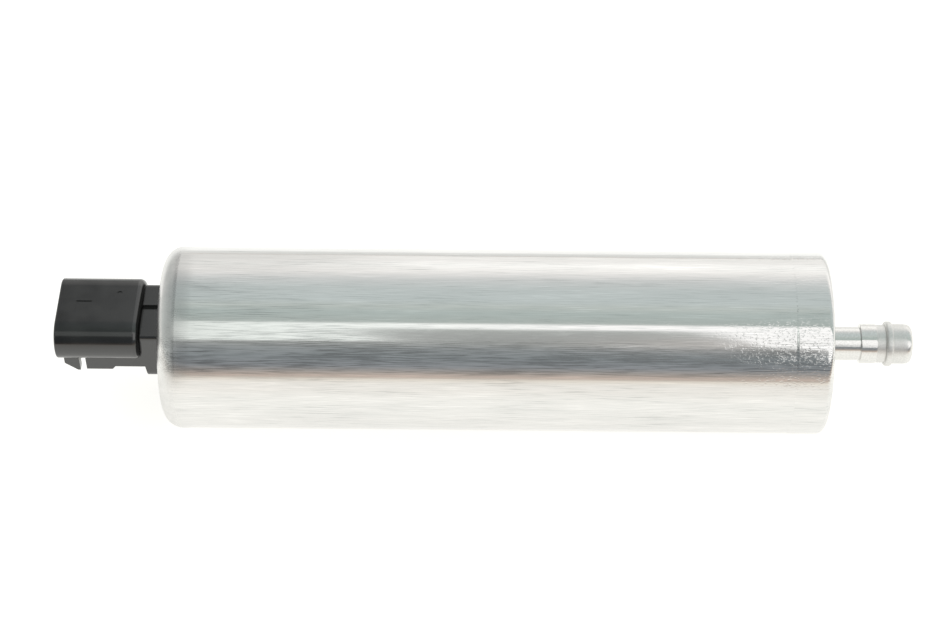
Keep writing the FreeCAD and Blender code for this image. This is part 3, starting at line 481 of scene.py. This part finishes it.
turn_piece("rolled_can", [
    (-can_end_x, can_lip_radius, can_lip_round),
    (-can_end_x, can_radius, shoulder_radius),
    (band_left_x - band_chamfer, can_radius),
    (band_left_x, band_radius),
    (can_end_x, band_radius, rim_radius),
    (can_end_x, can_lip_radius, can_rim_round),
    (can_end_x - can_wall, can_lip_radius),
    (can_end_x - can_wall, can_bore_radius),
    (can_wall - can_end_x, can_bore_radius, shoulder_radius - can_wall),
    (can_wall - can_end_x, can_lip_radius),
], "can", sides=320)

nipple_outside = [
    (collar_start, pipe_radius),
    (collar_start, collar_radius, inner_round),
    (waist_start, collar_radius, edge_round),
    (waist_start, waist_radius),
    (ridge_start, waist_radius),
    (ridge_start, ridge_radius, ridge_round),
    (land_start, ridge_radius, ridge_round),
    (land_start, land_radius),
    (nipple_reach, land_radius, tip_round),
    (nipple_reach, nipple_bore_radius, edge_round),
]


def turn_nipple(name, node, direction, root, y=0.0, z=0.0):
    """Hose nipple, its profile measured outwards from the can's end, with a flange root mm inside it."""
    inside = [
        (-root - flange_thickness, nipple_bore_radius),
        (-root - flange_thickness, flange_radius),
        (-root, flange_radius),
        (-root, pipe_radius),
    ]
    profile = [(direction * (can_end_x + x), *rest) for x, *rest in inside + nipple_outside]
    turn_piece(name, profile if direction > 0 else profile[::-1], node, sides=128, y=y, z=z)


turn_nipple("inlet_hose_nipple", "inlet_nipple", direction=1, root=5.0)
turn_nipple("outlet_hose_nipple", "outlet_nipple", direction=-1, root=3.9, y=outlet_y, z=outlet_z)


# Floor, lamps, surroundings and camera


def pale_floor():
    """White paper sweep. Most of its white is its own glow, so that it stays white at a plain light level,
    and painted shade greys it well away from the pump, in front and behind, where no lamp reaches."""
    ramp_reach = 1.2
    glow_strength = 0.88

    material = bpy.data.materials.new("white_paper")
    material.use_nodes = True
    tree = material.node_tree
    tree.nodes.clear()
    place = add(tree, "ShaderNodeTexCoord")
    split = add(tree, "ShaderNodeSeparateXYZ", {"Vector": place.outputs["Object"]})
    depth = add(tree, "ShaderNodeMapRange",
                {"Value": split.outputs["Y"], "From Min": -ramp_reach, "From Max": ramp_reach})
    # Painted shade: the paper's colour greys and warms far in front of the pump, and greys behind it
    shade = add(tree, "ShaderNodeValToRGB", {"Fac": depth.outputs[0]},
                [(0.0, "C4B8AE"), (0.3375, "EDE6DC"), (0.4354, "F4F1EC"), (0.461, "F9F6F1"),
                 (0.479, "FFFEFA"), (0.57, "FFFFFD"), (0.60, "E2E2E0"), (1.0, "D8D8D6")])
    paths = add(tree, "ShaderNodeLightPath")
    mirrored = add(tree, "ShaderNodeMath",
                   {0: paths.outputs["Is Glossy Ray"], 1: paths.outputs["Is Transmission Ray"]},
                   operation="MAXIMUM")
    seen = add(tree, "ShaderNodeMath", {0: paths.outputs["Is Camera Ray"], 1: mirrored.outputs[0]},
               operation="MAXIMUM")
    strength = add(tree, "ShaderNodeMath", {0: seen.outputs[0], 1: glow_strength}, operation="MULTIPLY")
    glow = add(tree, "ShaderNodeEmission",
               {"Color": shade.outputs["Color"], "Strength": strength.outputs[0]})
    tint = add(tree, "ShaderNodeMix", {"Factor": 1.0, 6: shade.outputs["Color"], 7: paint("989898")},
               data_type="RGBA", blend_type="MULTIPLY")
    matt = add(tree, "ShaderNodeBsdfDiffuse", {"Color": tint.outputs[2]})
    both = add(tree, "ShaderNodeAddShader", {0: glow.outputs[0], 1: matt.outputs[0]})
    add(tree, "ShaderNodeOutputMaterial", {"Surface": both.outputs[0]})
    return material


def lay_floor(half=4.0):
    """A square of paper under the can, half metres from its middle to each side."""
    z = floor_z * MM
    corners = [(-half, -half, z), (half, -half, z), (half, half, z), (-half, half, z)]
    mesh = bpy.data.meshes.new("paper_floor")
    mesh.from_pydata(corners, [], [(0, 1, 2, 3)])
    mesh.materials.append(pale_floor())
    floor = bpy.data.objects.new("paper_floor", mesh)
    bpy.context.scene.collection.objects.link(floor)


def hang_lamp(name, place, size, power):
    """A large soft lamp, placed and sized in metres, that aims at the pump and stays out of its mirror
    finish."""
    lamp = bpy.data.lights.new(name, "AREA")
    lamp.shape = "SQUARE"
    lamp.size = size
    lamp.energy = power
    holder = bpy.data.objects.new(name, lamp)
    holder.location = place
    holder.rotation_euler = Vector(place).to_track_quat("Z", "Y").to_euler()
    holder.visible_glossy = False
    bpy.context.scene.collection.objects.link(holder)


# Colours of the room by height: 0 is the horizon in front, 90 overhead and 180 the horizon behind.
room_colours = [
    (0, "C6B6AC"), (5, "A29A94"), (9, "918F8E"), (14, "82868A"), (26, "7F8588"), (36, "878C8E"),
    (44, "989B9A"), (54, "A0A3A2"), (60, "A8ACAA"), (70, "AAB3B0"), (82, "AEB9B7"), (90, "B9C1BE"),
    (98, "BCC5C5"), (115, "BDC5C5"), (130, "CDD0D0"), (138, "E2E2E1"), (146, "F6F5F3"),
    (158, "FFFFFD"), (168, "F0EFED"), (180, "EEEEEB"),
]


def strip_box(tree, side, height):
    """How much of the strip box shows, from 0 to 1. The camera stands before the box and hides the lower
    part of its middle, and the box hangs lower towards the right."""
    top, top_edge = 67.2, 69.5
    left_bottom, camera_bottom = 45.5, 61.5
    camera_from, camera_to = -0.042, -0.037
    right_from, right_to, right_drop = 0.095, 0.135, -22.0
    far_from, far_to, far_drop = 0.152, 0.166, -16.0
    wedge_tip, wedge_root, wedge_height = -0.0530, -0.0405, 56.0
    wedge_point, wedge_spread = -1.0, 7.5
    wedge_side = -0.038
    soft = 1.0

    # Its lower edge in degrees of height
    behind_camera = add(tree, "ShaderNodeMapRange",
                        {"Value": side, "From Min": camera_from, "From Max": camera_to,
                         "To Min": left_bottom, "To Max": camera_bottom},
                        interpolation_type="SMOOTHSTEP")
    lower_right = add(tree, "ShaderNodeMapRange",
                      {"Value": side, "From Min": right_from, "From Max": right_to,
                       "To Min": 0.0, "To Max": right_drop},
                      interpolation_type="SMOOTHSTEP")
    far_right = add(tree, "ShaderNodeMapRange",
                    {"Value": side, "From Min": far_from, "From Max": far_to,
                     "To Min": 0.0, "To Max": far_drop},
                    interpolation_type="SMOOTHSTEP")
    right_edge = add(tree, "ShaderNodeMath", {0: lower_right.outputs[0], 1: far_right.outputs[0]},
                     operation="ADD")
    edge = add(tree, "ShaderNodeMath", {0: behind_camera.outputs[0], 1: right_edge.outputs[0]},
               operation="ADD")
    above_edge = add(tree, "ShaderNodeMath", {0: height, 1: edge.outputs[0]}, operation="SUBTRACT")
    over = add(tree, "ShaderNodeMapRange",
               {"Value": above_edge.outputs[0], "From Min": -soft, "From Max": soft},
               interpolation_type="SMOOTHSTEP")
    under = add(tree, "ShaderNodeMapRange", {"Value": height, "From Min": top_edge, "From Max": top},
                interpolation_type="SMOOTHSTEP")
    box = add(tree, "ShaderNodeMath", {0: over.outputs[0], 1: under.outputs[0]}, operation="MULTIPLY")

    # The camera's left side is a blunt wedge
    wedge_half = add(tree, "ShaderNodeMapRange",
                     {"Value": side, "From Min": wedge_tip, "From Max": wedge_root,
                      "To Min": wedge_point, "To Max": wedge_spread})
    from_tip = add(tree, "ShaderNodeMath", {0: height, 1: wedge_height}, operation="SUBTRACT")
    off_tip = add(tree, "ShaderNodeMath", {0: from_tip.outputs[0]}, operation="ABSOLUTE")
    beside = add(tree, "ShaderNodeMath", {0: off_tip.outputs[0], 1: wedge_half.outputs[0]},
                 operation="SUBTRACT")
    clear = add(tree, "ShaderNodeMapRange",
                {"Value": beside.outputs[0], "From Min": -soft, "From Max": soft},
                interpolation_type="SMOOTHSTEP")
    past_wedge = add(tree, "ShaderNodeMath", {0: side, 1: wedge_side}, operation="GREATER_THAN")
    kept = add(tree, "ShaderNodeMath", {0: clear.outputs[0], 1: past_wedge.outputs[0]},
               operation="MAXIMUM")
    strip = add(tree, "ShaderNodeMath", {0: box.outputs[0], 1: kept.outputs[0]}, operation="MULTIPLY")
    return strip.outputs[0]


def small_window(tree, side, height):
    """How much of a small oval window shows, from 0 to 1: it catches the light right of the middle."""
    window_side, half_side = 0.068, 0.006
    window_height = 42.0
    rim, core = 1.6, 0.5
    window_share = 0.8

    across = add(tree, "ShaderNodeMath", {0: side, 1: window_side}, operation="SUBTRACT")
    upright = add(tree, "ShaderNodeMath", {0: height, 1: window_height}, operation="SUBTRACT")
    wide = add(tree, "ShaderNodeMath", {0: across.outputs[0], 1: 1 / half_side}, operation="MULTIPLY")
    reach = add(tree, "ShaderNodeMath", {0: wide.outputs[0], 1: 2.0}, operation="POWER")
    spread = add(tree, "ShaderNodeMath",
                 {0: upright.outputs[0], 1: upright.outputs[0], 2: reach.outputs[0]},
                 operation="MULTIPLY_ADD")
    window = add(tree, "ShaderNodeMapRange",
                 {"Value": spread.outputs[0], "From Min": rim, "From Max": core, "To Max": window_share})
    return window.outputs[0]


def room_round(tree, side, height):
    """Colour of the room: by height, with a grey wall and a dark doorway to the left, which leaves the
    connector's top dark, and a warmer front to the right."""
    wall_from, wall_near, wall_to = -0.18, -0.16, -0.60
    wall_most = 0.9
    door_from, door_open = -0.137, -0.150
    door_closed, door_to = -0.48, -0.24
    door_most = 0.72
    sweep_low, sweep_high, sweep_most = 132.0, 148.0, 0.45
    sweep_from, sweep_to = -0.02, -0.09
    front_low, front_full_low, front_full_high, front_high = 30.0, 44.0, 48.0, 60.0
    front_from, front_to, front_most = 0.02, 0.10, 0.22

    share = add(tree, "ShaderNodeMath", {0: height, 1: 180.0}, operation="DIVIDE")
    room = add(tree, "ShaderNodeValToRGB", {"Fac": share.outputs[0]},
               [(degrees / 180, code) for degrees, code in room_colours])
    wall = add(tree, "ShaderNodeMapRange", {"Value": side, "From Min": wall_from, "From Max": -1.0})
    wall_share = add(tree, "ShaderNodeMapRange",
                     {"Value": side, "From Min": wall_near, "From Max": wall_to, "To Max": wall_most},
                     interpolation_type="SMOOTHSTEP")
    wall_colour = add(tree, "ShaderNodeValToRGB", {"Fac": wall.outputs[0]},
                      [(0.0, "8F9392"), (0.6, "9CA09F"), (1.0, "BEC2C0")])
    walled = add(tree, "ShaderNodeMix",
                 {"Factor": wall_share.outputs[0], 6: room.outputs["Color"],
                  7: wall_colour.outputs["Color"]},
                 data_type="RGBA")

    door_near = add(tree, "ShaderNodeMapRange",
                    {"Value": side, "From Min": door_from, "From Max": door_open, "To Max": door_most},
                    interpolation_type="SMOOTHSTEP")
    door_far = add(tree, "ShaderNodeMapRange",
                   {"Value": side, "From Min": door_closed, "From Max": door_to},
                   interpolation_type="SMOOTHSTEP")
    door = add(tree, "ShaderNodeMath", {0: door_near.outputs[0], 1: door_far.outputs[0]},
               operation="MULTIPLY")
    open_door = add(tree, "ShaderNodeMix",
                    {"Factor": door.outputs[0], 6: walled.outputs[2], 7: paint("3C3E40")},
                    data_type="RGBA")

    # The sweep behind greys to the left
    behind = add(tree, "ShaderNodeMapRange",
                 {"Value": height, "From Min": sweep_low, "From Max": sweep_high, "To Max": sweep_most})
    leftwards = add(tree, "ShaderNodeMapRange",
                    {"Value": side, "From Min": sweep_from, "From Max": sweep_to})
    greyed = add(tree, "ShaderNodeMath", {0: behind.outputs[0], 1: leftwards.outputs[0]},
                 operation="MULTIPLY")
    left_room = add(tree, "ShaderNodeMix",
                    {"Factor": greyed.outputs[0], 6: open_door.outputs[2], 7: paint("C4C4C2")},
                    data_type="RGBA")

    # The front of the room is lighter and warmer to the right
    rise = add(tree, "ShaderNodeMapRange",
               {"Value": height, "From Min": front_low, "From Max": front_full_low})
    fall = add(tree, "ShaderNodeMapRange",
               {"Value": height, "From Min": front_high, "From Max": front_full_high})
    middle = add(tree, "ShaderNodeMath", {0: rise.outputs[0], 1: fall.outputs[0]}, operation="MULTIPLY")
    right = add(tree, "ShaderNodeMapRange",
                {"Value": side, "From Min": front_from, "From Max": front_to, "To Max": front_most})
    lighter = add(tree, "ShaderNodeMath", {0: middle.outputs[0], 1: right.outputs[0]},
                  operation="MULTIPLY")
    lit_room = add(tree, "ShaderNodeMix",
                   {"Factor": lighter.outputs[0], 6: left_room.outputs[2], 7: paint("DACCC6")},
                   data_type="RGBA")
    return lit_room.outputs[2]


def light_studio(strength=1.26):
    """Soft pale studio light round the pump: a white sweep behind, the grey room in front, and a strip
    box above the front edge. Places in it are a side, from -1 at the left to 1 at the right, and a
    height in degrees."""
    strip_from, strip_to = -0.150, 0.050

    world = bpy.data.worlds.new("soft_studio")
    bpy.context.scene.world = world
    world.use_nodes = True
    tree = world.node_tree
    tree.nodes.clear()
    place = add(tree, "ShaderNodeTexCoord")
    split = add(tree, "ShaderNodeSeparateXYZ", {"Vector": place.outputs["Generated"]})
    side = split.outputs["X"]
    forward = add(tree, "ShaderNodeMath", {0: split.outputs["Y"], 1: -1.0}, operation="MULTIPLY")
    turn = add(tree, "ShaderNodeMath", {0: split.outputs["Z"], 1: forward.outputs[0]},
               operation="ARCTAN2")
    degrees = add(tree, "ShaderNodeMath", {0: turn.outputs[0], 1: 180 / math.pi}, operation="MULTIPLY")
    height = degrees.outputs[0]

    lit = add(tree, "ShaderNodeMath",
              {0: strip_box(tree, side, height), 1: small_window(tree, side, height)},
              operation="MAXIMUM")
    strip_side = add(tree, "ShaderNodeMapRange",
                     {"Value": side, "From Min": strip_from, "From Max": strip_to})
    strip_colour = add(tree, "ShaderNodeValToRGB", {"Fac": strip_side.outputs[0]},
                       [(0.0, "A4A8A6"), (0.08, "E2E8E5"), (0.3, "F0F6F3"), (0.6, "F4F8F6"),
                        (1.0, "FFFFFF")])
    whole = add(tree, "ShaderNodeMix",
                {"Factor": lit.outputs[0], 6: room_round(tree, side, height),
                 7: strip_colour.outputs["Color"]},
                data_type="RGBA")
    light = add(tree, "ShaderNodeBackground", {"Color": whole.outputs[2], "Strength": strength})
    add(tree, "ShaderNodeOutputWorld", {"Surface": light.outputs[0]})


def set_camera(elevation=48.0, distance=540.0, lens=86.25, aim_x=-4.65, aim_up=5.5, roll=0.56):
    """Camera straight in front of the can's middle, looking down, with a slight roll of the tripod."""
    tilt = math.radians(elevation)
    turn = math.radians(roll)
    up = Vector((0, math.sin(tilt), math.cos(tilt)))
    back = Vector((0, -math.cos(tilt), math.sin(tilt)))
    right = Vector((1, 0, 0))
    place = Vector((aim_x, 0, 0)) * MM + up * aim_up * MM + back * distance * MM
    turned_right = right * math.cos(turn) + up * math.sin(turn)
    turned_up = back.cross(turned_right)
    lens_data = bpy.data.cameras.new("camera")
    lens_data.lens = lens
    lens_data.sensor_width = 36.0
    lens_data.clip_start = 0.01
    holder = bpy.data.objects.new("camera", lens_data)
    holder.matrix_world = Matrix((
        (turned_right.x, turned_up.x, back.x, place.x),
        (turned_right.y, turned_up.y, back.y, place.y),
        (turned_right.z, turned_up.z, back.z, place.z),
        (0, 0, 0, 1),
    ))
    bpy.context.scene.collection.objects.link(holder)
    bpy.context.scene.camera = holder


lay_floor()
light_studio()
hang_lamp("overhead_lamp", place=(-0.25, 0.15, 1.2), size=1.4, power=7.0)
set_camera()
bpy.context.scene.view_settings.view_transform = "Standard"
